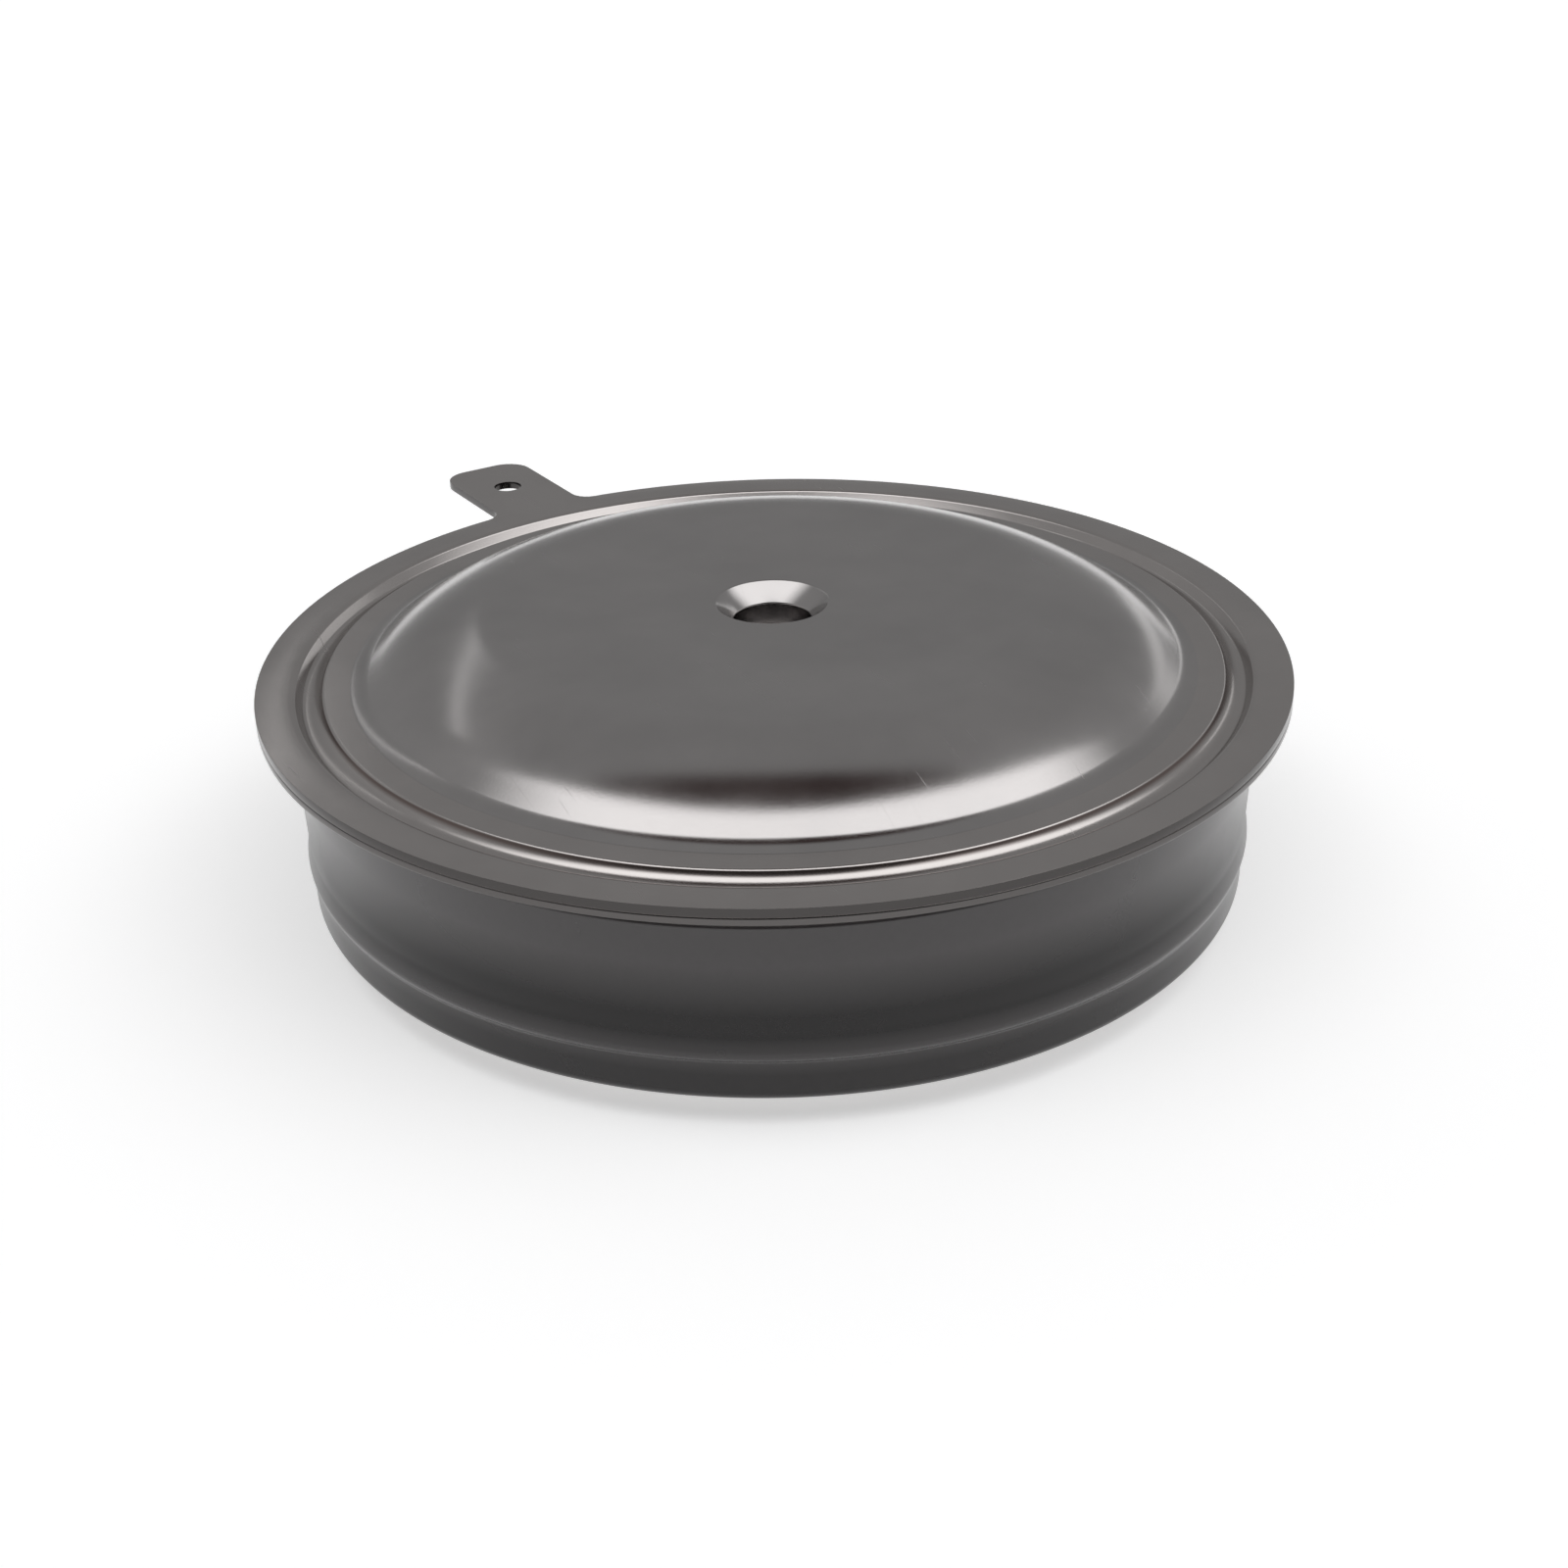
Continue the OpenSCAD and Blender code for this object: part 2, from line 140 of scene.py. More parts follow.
def cutAway(piece, bm):
    mesh = bpy.data.meshes.new("cutter")
    bm.to_mesh(mesh)
    bm.free()
    cutter = bpy.data.objects.new("cutter", mesh)
    bpy.context.scene.collection.objects.link(cutter)
    cut = piece.modifiers.new("cut", "BOOLEAN")
    cut.object = cutter
    cut.solver = "EXACT"
    old = piece.data
    shaped = piece.evaluated_get(bpy.context.evaluated_depsgraph_get())
    piece.data = bpy.data.meshes.new_from_object(shaped)
    piece.data.set_sharp_from_angle(angle=sharpAngle)
    piece.modifiers.remove(cut)
    bpy.data.objects.remove(cutter)
    bpy.data.meshes.remove(mesh)
    bpy.data.meshes.remove(old)


# small tools for node trees
def link(tree, out, into):
    tree.links.new(out, into)


def mathNode(tree, kind, a, b=None):
    node = tree.nodes.new("ShaderNodeMath")
    node.operation = kind
    for socket, value in zip(node.inputs, (a, b)):
        if value is None:
            continue
        if isinstance(value, (int, float)):
            socket.default_value = value
        else:
            link(tree, value, socket)
    return node.outputs[0]


def noiseNode(tree, vector, scale):
    node = tree.nodes.new("ShaderNodeTexNoise")
    node.inputs["Scale"].default_value = scale
    node.inputs["Detail"].default_value = 1.0
    link(tree, vector, node.inputs["Vector"])
    return node.outputs["Fac"]


def mapRange(tree, value, low, high, toLow, toHigh):
    node = tree.nodes.new("ShaderNodeMapRange")
    for name, number in (("From Min", low), ("From Max", high), ("To Min", toLow), ("To Max", toHigh)):
        node.inputs[name].default_value = number
    link(tree, value, node.inputs["Value"])
    return node.outputs["Result"]


def newGroup(name, inputs, outputs):
    group = bpy.data.node_groups.new(name, "ShaderNodeTree")
    for label, kind, value in inputs:
        socket = group.interface.new_socket(label, in_out="INPUT", socket_type=kind)
        if value is not None:
            socket.default_value = value
    for label, kind in outputs:
        group.interface.new_socket(label, in_out="OUTPUT", socket_type=kind)
    return group, group.nodes.new("NodeGroupInput"), group.nodes.new("NodeGroupOutput")


# fine grain, broad handling smudges, radius and height, shared by every finish
def makeSatinGrain():
    group, given, put = newGroup("satinGrain", [
        ("Grain Scale", "NodeSocketFloat", 9000.0), ("Smudge Scale", "NodeSocketFloat", 120.0)],
        [("Grain", "NodeSocketFloat"), ("Smudge", "NodeSocketFloat"), ("Radius", "NodeSocketFloat"),
         ("Height", "NodeSocketFloat")])
    place = group.nodes.new("ShaderNodeTexCoord").outputs["Object"]
    grain = group.nodes.new("ShaderNodeTexNoise")
    grain.inputs["Detail"].default_value = 2.0
    link(group, given.outputs["Grain Scale"], grain.inputs["Scale"])
    smudge = group.nodes.new("ShaderNodeTexNoise")
    smudge.inputs["Detail"].default_value = 4.0
    smudge.inputs["Roughness"].default_value = 0.6
    link(group, given.outputs["Smudge Scale"], smudge.inputs["Scale"])
    link(group, place, grain.inputs["Vector"])
    link(group, place, smudge.inputs["Vector"])
    axes = group.nodes.new("ShaderNodeSeparateXYZ")
    link(group, place, axes.inputs[0])
    xx = mathNode(group, "MULTIPLY", axes.outputs["X"], axes.outputs["X"])
    yy = mathNode(group, "MULTIPLY", axes.outputs["Y"], axes.outputs["Y"])
    link(group, grain.outputs["Fac"], put.inputs["Grain"])
    link(group, smudge.outputs["Fac"], put.inputs["Smudge"])
    link(group, mathNode(group, "SQRT", mathNode(group, "ADD", xx, yy)), put.inputs["Radius"])
    link(group, axes.outputs["Z"], put.inputs["Height"])
    return group


# hairline scratches: noise drawn out along one direction and cut to thin threads
def makeHairlines():
    group, given, put = newGroup("hairlines", [("Turn", "NodeSocketFloat", 0.6)],
                                 [("Mask", "NodeSocketFloat")])
    place = group.nodes.new("ShaderNodeTexCoord").outputs["Object"]
    turn = group.nodes.new("ShaderNodeCombineXYZ")
    link(group, given.outputs["Turn"], turn.inputs["Z"])
    laid = group.nodes.new("ShaderNodeMapping")
    laid.inputs["Scale"].default_value = (9000, 110, 300)
    link(group, place, laid.inputs["Vector"])
    link(group, turn.outputs[0], laid.inputs["Rotation"])
    thread = noiseNode(group, laid.outputs[0], 1.0)
    patch = noiseNode(group, place, 260.0)
    thin = mapRange(group, thread, 0.70, 0.76, 0.0, 1.0)
    some = mapRange(group, patch, 0.5, 0.62, 0.0, 1.0)
    link(group, mathNode(group, "MULTIPLY", thin, some), put.inputs["Mask"])
    return group


satinGrain = makeSatinGrain()
hairlines = makeHairlines()


def newMaterial(name, color, metallic, rough):
    material = bpy.data.materials.new(name)
    material.use_nodes = True
    material.diffuse_color = (*color, 1)
    shader = material.node_tree.nodes["Principled BSDF"]
    shader.inputs["Base Color"].default_value = (*color, 1)
    shader.inputs["Metallic"].default_value = metallic
    shader.inputs["Roughness"].default_value = rough
    return material, material.node_tree, shader


def placeGroup(tree, group, **values):
    node = tree.nodes.new("ShaderNodeGroup")
    node.node_tree = group
    for name, value in values.items():
        node.inputs[name].default_value = value
    return node.outputs


def mixColor(tree, factor, first, second):
    node = tree.nodes.new("ShaderNodeMix")
    node.data_type = "RGBA"
    link(tree, factor, node.inputs["Factor"])
    for socket, value in ((node.inputs[6], first), (node.inputs[7], second)):
        if isinstance(value, tuple):
            socket.default_value = (*value, 1)
        else:
            link(tree, value, socket)
    return node.outputs[2]


def bump(tree, shader, height, distance):
    node = tree.nodes.new("ShaderNodeBump")
    node.inputs["Distance"].default_value = distance
    node.inputs["Strength"].default_value = 1.0
    link(tree, height, node.inputs["Height"])
    link(tree, node.outputs["Normal"], shader.inputs["Normal"])


# painted shade on the lid: darker upright outer edges of the sheets, and a darker steep inner side of the
# groove
paintedShade = {"edgeSoft": 0.2, "upright": (0.6, 0.95), "grooveEnd": (21.4, 21.8), "steep": (0.55, 0.72),
        "grooveShade": 0.9, "grooveShadeTint": (0.4, 0.32, 0.3)}


def addPaintedShade(tree, satin, tone, dark, edgeR, edgeShadeTone, w):
    # painted shade: upright faces near the outer edge darken by the edge tone
    facing = tree.nodes.new("ShaderNodeSeparateXYZ")
    link(tree, tree.nodes.new("ShaderNodeNewGeometry").outputs["Normal"], facing.inputs[0])
    level = mathNode(tree, "ABSOLUTE", facing.outputs["Z"])
    upright = mapRange(tree, level, *w["upright"], 1.0, 0.0)
    outer = mapRange(tree, satin["Radius"], (edgeR - w["edgeSoft"]) * mm, edgeR * mm, 0.0, 1.0)
    edgeShade = mathNode(tree, "MULTIPLY", upright, outer)
    tone = mixColor(tree, edgeShade, tone, tuple(c * edgeShadeTone for c in dark))
    # painted shade: steep faces inside the groove's outer side darken towards a warm tint
    inside = mapRange(tree, satin["Radius"], *(r * mm for r in w["grooveEnd"]), 1.0, 0.0)
    steep = mapRange(tree, level, *w["steep"], w["grooveShade"], 0.0)
    grooveShade = mathNode(tree, "MULTIPLY", inside, steep)
    return mixColor(tree, grooveShade, tone, tuple(c * share for c, share in zip(dark, w["grooveShadeTint"])))


# plated metal: two tones in broad patches, a fine grain, and a few hairlines; with an edge radius given,
# painted shade on the outer edges and in the groove
def makePlating(name, dark, light, rough, roughSpread, grainScale=9000.0, edgeR=None, edgeShadeTone=None):
    material, tree, shader = newMaterial(name, light, 1.0, rough)
    satin = placeGroup(tree, satinGrain, **{"Grain Scale": grainScale, "Smudge Scale": 130.0})
    lines = placeGroup(tree, hairlines, Turn=0.6)
    patch = mapRange(tree, satin["Smudge"], 0.35, 0.65, 0.0, 1.0)
    tone = mixColor(tree, patch, dark, light)
    if edgeR:
        tone = addPaintedShade(tree, satin, tone, dark, edgeR, edgeShadeTone, paintedShade)
    link(tree, tone, shader.inputs["Base Color"])
    fine = mapRange(tree, satin["Grain"], 0.3, 0.7, -0.3, 0.3)
    broad = mapRange(tree, satin["Smudge"], 0.3, 0.7, -0.7, 0.7)
    spread = mathNode(tree, "MULTIPLY", mathNode(tree, "ADD", fine, broad), roughSpread)
    marked = mathNode(tree, "MULTIPLY", lines["Mask"], 0.1)
    total = mathNode(tree, "ADD", mathNode(tree, "ADD", spread, rough), marked)
    link(tree, total, shader.inputs["Roughness"])
    cut = mathNode(tree, "MULTIPLY", lines["Mask"], 0.5)
    relief = mathNode(tree, "SUBTRACT", satin["Grain"], cut)
    bump(tree, shader, relief, 0.000001)
    return material


poleNickel = makePlating("poleNickel", (0.40, 0.386, 0.383), (0.445, 0.428, 0.424), 0.18, 0.04)
lidTones = ((0.425, 0.402, 0.393), (0.465, 0.44, 0.43))
# the lid's and the weld sheet's outer edges get painted shade, the lid's darker
lidNickel = makePlating("lidNickel", *lidTones, 0.2, 0.04, edgeR=23.9, edgeShadeTone=0.18)
weldNickel = makePlating("weldNickel", *lidTones, 0.2, 0.04, edgeR=23.9, edgeShadeTone=0.28)
sheetNickel = makePlating("sheetNickel", (0.425, 0.41, 0.40), (0.475, 0.46, 0.45), 0.22, 0.05)


# lapped metal: fine rings round the axis over a plated grain
def makeLapped(name, dark, light, rough, pitch):
    material, tree, shader = newMaterial(name, light, 1.0, rough)
    satin = placeGroup(tree, satinGrain, **{"Grain Scale": 7000.0, "Smudge Scale": 200.0})
    turns = mathNode(tree, "SINE", mathNode(tree, "MULTIPLY", satin["Radius"], math.tau / (pitch * mm)))
    patch = mapRange(tree, satin["Smudge"], 0.35, 0.65, 0.0, 1.0)
    link(tree, mixColor(tree, patch, dark, light), shader.inputs["Base Color"])
    worn = mathNode(tree, "MULTIPLY", mathNode(tree, "ADD", satin["Grain"], turns), 0.03)
    link(tree, mathNode(tree, "ADD", worn, rough), shader.inputs["Roughness"])
    rings = mathNode(tree, "MULTIPLY", turns, 0.5)
    bump(tree, shader, mathNode(tree, "ADD", rings, satin["Grain"]), 0.000002)
    return material


# moulded polymer: a soft body tone, faint flow marks, and a fine matt skin
def makePolymer(name, dark, light, rough, clear):
    material, tree, shader = newMaterial(name, light, 0.0, rough)
    satin = placeGroup(tree, satinGrain, **{"Grain Scale": 4000.0, "Smudge Scale": 300.0})
    flow = mapRange(tree, satin["Smudge"], 0.3, 0.7, 0.0, 1.0)
    link(tree, mixColor(tree, flow, dark, light), shader.inputs["Base Color"])
    skin = mapRange(tree, satin["Grain"], 0.3, 0.7, rough - 0.06, rough + 0.06)
    link(tree, skin, shader.inputs["Roughness"])
    shader.inputs["Coat Weight"].default_value = clear
    shader.inputs["Subsurface Weight"].default_value = 0.15
    shader.inputs["Subsurface Scale"].default_value = 0.0005
    bump(tree, shader, mathNode(tree, "ADD", satin["Grain"], flow), 0.000003)
    return material


tinnedNickel = makePlating("tinnedNickel", (0.50, 0.49, 0.47), (0.57, 0.56, 0.54), 0.24, 0.06)
molybdenum = makeLapped("molybdenum", (0.34, 0.34, 0.35), (0.42, 0.42, 0.43), 0.3, 0.06)
waferSilicon = makeLapped("waferSilicon", (0.16, 0.16, 0.19), (0.21, 0.21, 0.25), 0.12, 0.4)
gatePlate = makePlating("gatePlate", (0.72, 0.52, 0.24), (0.82, 0.62, 0.31), 0.2, 0.05)
springWire = makePlating("springWire", (0.46, 0.46, 0.47), (0.56, 0.56, 0.57), 0.25, 0.05,
                         grainScale=14000.0)
sealRubber = makePolymer("sealRubber", (0.66, 0.64, 0.58), (0.74, 0.72, 0.66), 0.4, 0.3)
whitePolymer = makePolymer("whitePolymer", (0.74, 0.74, 0.72), (0.82, 0.82, 0.80), 0.45, 0.0)


# glazed wall: a clear coat over grey with faint speckle; painted shade darkens a band above the ridge and
# the base band below it, and the coat thins with it
glaze = {"upper": (0.046, 0.0395, 0.0405), "lower": (0.011, 0.0096, 0.0098), "rough": 0.24,
         "bandTop": (5.4, 7.8), "bandFoot": (3.7, 4.4), "baseTop": (2.6, 3.3), "baseShade": 0.25,
         "ridgeLevel": 0.7, "speck": 0.12, "speckTone": 0.6, "smoother": 0.05, "rougher": 0.07, "coat": 0.6,
         "coatIor": 1.6, "specular": 0.38}


def makeGlaze(name, g):
    material, tree, shader = newMaterial(name, g["upper"], 0.0, g["rough"])
    satin = placeGroup(tree, satinGrain, **{"Grain Scale": 2600.0, "Smudge Scale": 160.0})

    def upTo(key, low, high):
        return mapRange(tree, satin["Height"], *(z * mm for z in g[key]), low, high)

    # painted shade: darker in a band above the ridge and on the base band, lighter on the ridge between
    # them
    above = upTo("bandTop", 0.0, 1.0)
    below = upTo("bandFoot", 1.0, 0.0)
    base = upTo("baseTop", g["baseShade"], 1.0)
    below = mathNode(tree, "MULTIPLY", mathNode(tree, "MULTIPLY", below, base), g["ridgeLevel"])
    clear = mathNode(tree, "MAXIMUM", above, below)
    tone = mixColor(tree, clear, g["lower"], g["upper"])
    speck = mapRange(tree, satin["Grain"], 0.35, 0.65, 0.0, g["speck"])
    speckled = mixColor(tree, speck, tone, tuple(c * g["speckTone"] for c in g["upper"]))
    link(tree, speckled, shader.inputs["Base Color"])
    low, high = g["rough"] - g["smoother"], g["rough"] + g["rougher"]
    link(tree, mapRange(tree, satin["Smudge"], 0.1, 0.9, low, high), shader.inputs["Roughness"])
    link(tree, mathNode(tree, "MULTIPLY", clear, g["coat"]), shader.inputs["Coat Weight"])
    shader.inputs["Specular IOR Level"].default_value = g["specular"]
    shader.inputs["Coat IOR"].default_value = g["coatIor"]
    shader.inputs["Coat Roughness"].default_value = g["rough"]
    bump(tree, shader, satin["Smudge"], 0.000004)
    return material


wallGlaze = makeGlaze("wallGlaze", glaze)

# the upper pole: contact face, rolled shoulder with a short flank, countersunk hole, spigot inside
poleBox = nodeBox("cathode_pole")
lidPole = {"flatR": 12.5, "crownR": 9.7, "hollowR": 1.5, "brim": 0.004, "holeR": 1.8, "sinkR": 2.65,
           "holeDepth": 2.0, "spigotR": 15.0, "rimZ": nodeBox("cathode_flange")[1].z, "pocketR": 2.1,
           "pocketTop": 11.1, "slotW": 1.3, "slotZ": 7.75, "edge": 0.06, "sinkEdge": 0.05, "flankSteps": 28,
           "steps": 480}


def makeLidPole(p):
    top, low, footR = poleBox[1].z, poleBox[0].z, poleBox[1].x
    bm = bmesh.new()
    tip = startAt(bm, 0, top - p["holeDepth"])
    tip = lineTo(bm, tip, p["holeR"], top - p["holeDepth"])
    sinkLow = tip = lineTo(bm, tip, p["holeR"], top - (p["sinkR"] - p["holeR"]))
    sinkTop = tip = lineTo(bm, tip, p["sinkR"], top)
    tip = lineTo(bm, tip, p["flatR"], top)
    footZ = p["rimZ"] + p["brim"]
    tip = flankTo(bm, tip, p["flatR"], top, footR, footZ, p["crownR"], p["hollowR"], p["flankSteps"])
    tip = lineTo(bm, tip, footR, p["rimZ"])
    tip = lineTo(bm, tip, p["spigotR"], p["rimZ"])
    tip = lineTo(bm, tip, p["spigotR"], low)
    tip = lineTo(bm, tip, p["pocketR"], low)
    tip = lineTo(bm, tip, p["pocketR"], p["pocketTop"])
    lineTo(bm, tip, 0, p["pocketTop"])
    roundCorners(bm, [sinkTop], p["edge"], 4)
    roundCorners(bm, [sinkLow], p["sinkEdge"])
    turnRound(bm, p["steps"])
    piece = makePiece("lidPole", bm, poleNickel, "pole_nickel", "cathode_pole")
    halfW = p["slotW"] / 2
    cutAway(piece, roundBar(halfW, 0, p["spigotR"] + 1, p["slotZ"]))
    cutAway(piece, block((-halfW, 0, low - 1), (halfW, p["spigotR"] + 1, p["slotZ"])))
    return piece


makeLidPole(lidPole)

# the lid sheet: pressed groove, flat rim, and the tab drawn out of the rim's edge
lidBox = nodeBox("cathode_flange")
lidSheet = {"sheet": 0.4, "innerR": 15.1, "grooveR": 21.6, "grooveDepth": 0.55, "bottomR": 0.45,
            "lipR": 0.56, "innerLip": 0.18, "innerTurn": 60.0, "scoopR": 0.9, "floorR": 0.2,
            "tightLip": 0.2, "outerTurn": 55.0, "softLip": 0.6, "softTurn": 26.0, "tabW": 4.8,
            "cornerR": 1.4, "cornerSteps": 7, "rootR": 1.0, "rootSteps": 5, "holeR": 0.75, "holeY": 28.0,
            "edge": 0.12, "steps": 552, "tabFaces": 24, "holeFaces": 8}


# the groove from above: a tight inner lip, a scooped floor, and an outer lip eased into the rim
def grooveTop(bm, tip, p, z):
    lip, scoop, floor = p["innerLip"], p["scoopR"], p["floorR"]
    soft, tight, depth = p["softLip"], p["tightLip"], p["grooveDepth"]
    lean, rise, ease = (math.radians(p[key]) for key in ("innerTurn", "outerTurn", "softTurn"))
    innerRise = (lip + scoop) * (1 - math.cos(lean))
    innerRun = (lip + scoop) * math.sin(lean) + (depth - innerRise) / math.tan(lean)
    easeRun = soft * math.sin(ease) + tight * (math.sin(rise) - math.sin(ease))
    easeDrop = soft * (1 - math.cos(ease)) + tight * (math.cos(ease) - math.cos(rise))
    straight = (depth - easeDrop - floor * (1 - math.cos(rise))) / math.tan(rise)
    halfW = math.sqrt(2 * (p["lipR"] + p["bottomR"]) * depth - depth * depth)
    endR = p["grooveR"] + halfW
    lowR = endR - easeRun - straight - floor * math.sin(rise)
    tip = lineTo(bm, tip, lowR - innerRun, z)
    tip = arcTo(bm, tip, lowR - innerRun, z - lip, p["innerTurn"], 8)
    tip = lineTo(bm, tip, lowR - scoop * math.sin(lean), z - depth + scoop * (1 - math.cos(lean)))
    tip = arcTo(bm, tip, lowR, z - depth + scoop, -p["innerTurn"], 14)
    tip = arcTo(bm, tip, lowR, z - depth + floor, -p["outerTurn"], 6)
    tip = lineTo(bm, tip, endR - easeRun, z - easeDrop)
    tightR = endR - (soft - tight) * math.sin(ease)
    tightZ = z - soft + (soft - tight) * math.cos(ease)
    tip = arcTo(bm, tip, tightR, tightZ, p["outerTurn"] - p["softTurn"], 5)
    return arcTo(bm, tip, endR, z - soft, p["softTurn"], 8)


# the same groove from below, going inwards
def grooveUnder(bm, tip, p, z):
    lip, bottom = p["lipR"] - p["sheet"], p["bottomR"] + p["sheet"]
    halfW = math.sqrt(2 * (lip + bottom) * p["grooveDepth"] - p["grooveDepth"] ** 2)
    turn = math.degrees(math.asin(halfW / (lip + bottom)))
    tip = lineTo(bm, tip, p["grooveR"] + halfW, z)
    tip = arcTo(bm, tip, p["grooveR"] + halfW, z - lip, -turn, 6)
    tip = arcTo(bm, tip, p["grooveR"], z - p["grooveDepth"] + bottom, 2 * turn, 12)
    return arcTo(bm, tip, p["grooveR"] - halfW, z - lip, -turn, 6)


# half width, place and bulge of each row of the tab: round roots, straight sides, round corners
def tabRows(p, rimR, tipY):
    halfW, r, rootSteps = p["tabW"] / 2, p["rootR"], p["rootSteps"]
    corner, cornerSteps = p["cornerR"], p["cornerSteps"]
    centreX = halfW + r
    centreY = math.sqrt((rimR + r) ** 2 - centreX ** 2)
    start = math.atan2(-centreY, -centreX)
    edgeY = centreY * rimR / (rimR + r)
    rows = []
    for i in range(1, rootSteps + 1):
        angle = start + (-math.pi - start) * i / rootSteps
        bulge = (rimR - edgeY) * (1 - i / rootSteps)
        rows.append((centreX + r * math.cos(angle), centreY + r * math.sin(angle), bulge))
    cell = p["tabW"] / p["tabFaces"]
    holeLow = p["holeY"] - cell * p["holeFaces"] / 2
    holeHigh = p["holeY"] + cell * p["holeFaces"] / 2
    cornerY = tipY - corner
    spans = ((centreY, holeLow, 6), (holeLow, holeHigh, p["holeFaces"]), (holeHigh, cornerY, 5))
    for low, high, count in spans:
        rows += [(halfW, low + (high - low) * i / count, 0) for i in range(1, count + 1)]
    for i in range(1, cornerSteps + 1):
        angle = math.pi / 2 * i / cornerSteps
        rows.append((halfW - corner + corner * math.cos(angle), cornerY + corner * math.sin(angle), 0))
    return rows


# draws the rim's edge faces out along +Y, row by row
def drawTab(bm, p, rimR, tipY):
    reach = math.tau / p["steps"] * p["tabFaces"] / 2
    faces = []
    for face in bm.faces:
        middle = face.calc_center_median()
        outer = all(abs(v.co.xy.length - rimR * mm) < 1e-6 for v in face.verts)
        if outer and abs(math.atan2(middle.x, middle.y)) < reach:
            faces.append(face)
    lastW = rimR * math.sin(reach)
    for halfW, y, bulge in tabRows(p, rimR, tipY):
        grown = bmesh.ops.extrude_face_region(bm, geom=faces)
        bmesh.ops.delete(bm, geom=[f for f in faces if f.is_valid], context="FACES_ONLY")
        faces = [g for g in grown["geom"] if isinstance(g, bmesh.types.BMFace)]
        for vert in (g for g in grown["geom"] if isinstance(g, bmesh.types.BMVert)):
            share = vert.co.x / (lastW * mm)
            vert.co.x = share * halfW * mm
            vert.co.y = (y + bulge * (1 - share * share)) * mm
        lastW = halfW


# opens the block of faces at the hole, rounds the opening, and joins its two sides
def punchTab(bm, p):
    half = p["tabW"] / p["tabFaces"] * p["holeFaces"] / 2 * mm
    centre = Vector((0, p["holeY"] * mm))
    inside = []
    for face in bm.faces:
        away = face.calc_center_median().xy - centre
        if abs(face.normal.z) > 0.9 and abs(away.x) < half and abs(away.y) < half:
            inside.append(face)
    bmesh.ops.delete(bm, geom=inside, context="FACES")
    edges = [e for e in bm.edges if e.is_boundary]
    for vert in {v for e in edges for v in e.verts}:
        away = vert.co.xy - centre
        vert.co.xy = centre + away.normalized() * p["holeR"] * mm
    bmesh.ops.bridge_loops(bm, edges=edges)


def makeLidSheet(p):
    rimZ, rimR, tipY = lidBox[1].z, lidBox[1].x, lidBox[1].y
    under = rimZ - p["sheet"]
    bm = bmesh.new()
    first = startAt(bm, p["innerR"], rimZ)
    tip = grooveTop(bm, first, p, rimZ)
    tip = lineTo(bm, tip, rimR, rimZ)
    tip = lineTo(bm, tip, rimR, under)
    tip = grooveUnder(bm, tip, p, under)
    tip = lineTo(bm, tip, p["innerR"], under)
    bm.edges.new((tip, first))
    turnRound(bm, p["steps"])
    drawTab(bm, p, rimR, tipY)
    punchTab(bm, p)
    bmesh.ops.recalc_face_normals(bm, faces=bm.faces[:])
    sharp = [e for e in bm.edges if e.is_manifold and e.calc_face_angle() > math.radians(60)]
    outer = [e for e in sharp if e.verts[0].co.xy.length > (rimR - 0.5) * mm]
    bmesh.ops.bevel(bm, geom=outer, offset=p["edge"] * mm, offset_type="OFFSET", segments=3, profile=0.5,
                    affect="EDGES", material=-1, clamp_overlap=True)
    return makePiece("lidSheet", bm, lidNickel, "flange_sheet", "cathode_flange")


makeLidSheet(lidSheet)

# the sheet under the rim: brazed flat on the wall, then joggled up to the lid
weldBox = nodeBox("upper_weld_ring")
weldSheet = {"sheet": 0.4, "innerR": 18.9, "weldW": 1.101, "run": 0.899, "bend": 0.12, "edge": 0.1,
             "steps": 480}


def makeWeldSheet(p):
    outerR, topZ, lowZ = weldBox[1].x, weldBox[1].z, weldBox[0].z
    sheet, bend = p["sheet"], p["bend"]
    bendR = outerR - p["weldW"]
    bm = bmesh.new()
    first = startAt(bm, outerR, topZ)
    tip = lineTo(bm, first, bendR, topZ)
    tip = sCurveTo(bm, tip, bendR, topZ, bendR - p["run"], lowZ + sheet, bend + sheet, 6)
    tip = lineTo(bm, tip, p["innerR"], lowZ + sheet)
    tip = lineTo(bm, tip, p["innerR"], lowZ)
    tip = lineTo(bm, tip, bendR - p["run"], lowZ)
    run, drop = p["run"], topZ - lowZ - sheet
    radii = (run * run + drop * drop) / (2 * drop)
    turn = math.degrees(math.asin(run / radii))
    tip = arcTo(bm, tip, bendR - run, lowZ + radii - bend, -turn, 6)
    tip = arcTo(bm, tip, bendR, topZ - sheet - bend, turn, 6)
    last = lineTo(bm, tip, outerR, topZ - sheet)
    bm.edges.new((last, first))
    roundCorners(bm, [first, last], p["edge"])
    turnRound(bm, p["steps"])
    return makePiece("weldSheet", bm, weldNickel, "flange_sheet", "upper_weld_ring")


makeWeldSheet(weldSheet)

# the wall: rounded foot, base band, rolled ridge, slight taper, and a flat at the gate tube
wallBox = nodeBox("ceramic_ring")
wall = {"boreR": 18.6, "baseR": 22.2, "footR": 0.5, "ridgeZ": 3.65, "ridgeR": 22.4, "notchRound": 0.3,
        "ridgeRound": 0.5, "flareRound": 3.5, "flareTurn": 15.0, "chamfer": 0.35, "edge": 0.12,
        "steps": 480, "gateZ": 7.75, "gateHoleR": 1.15, "flatR": 2.0, "flatY": 22.0}


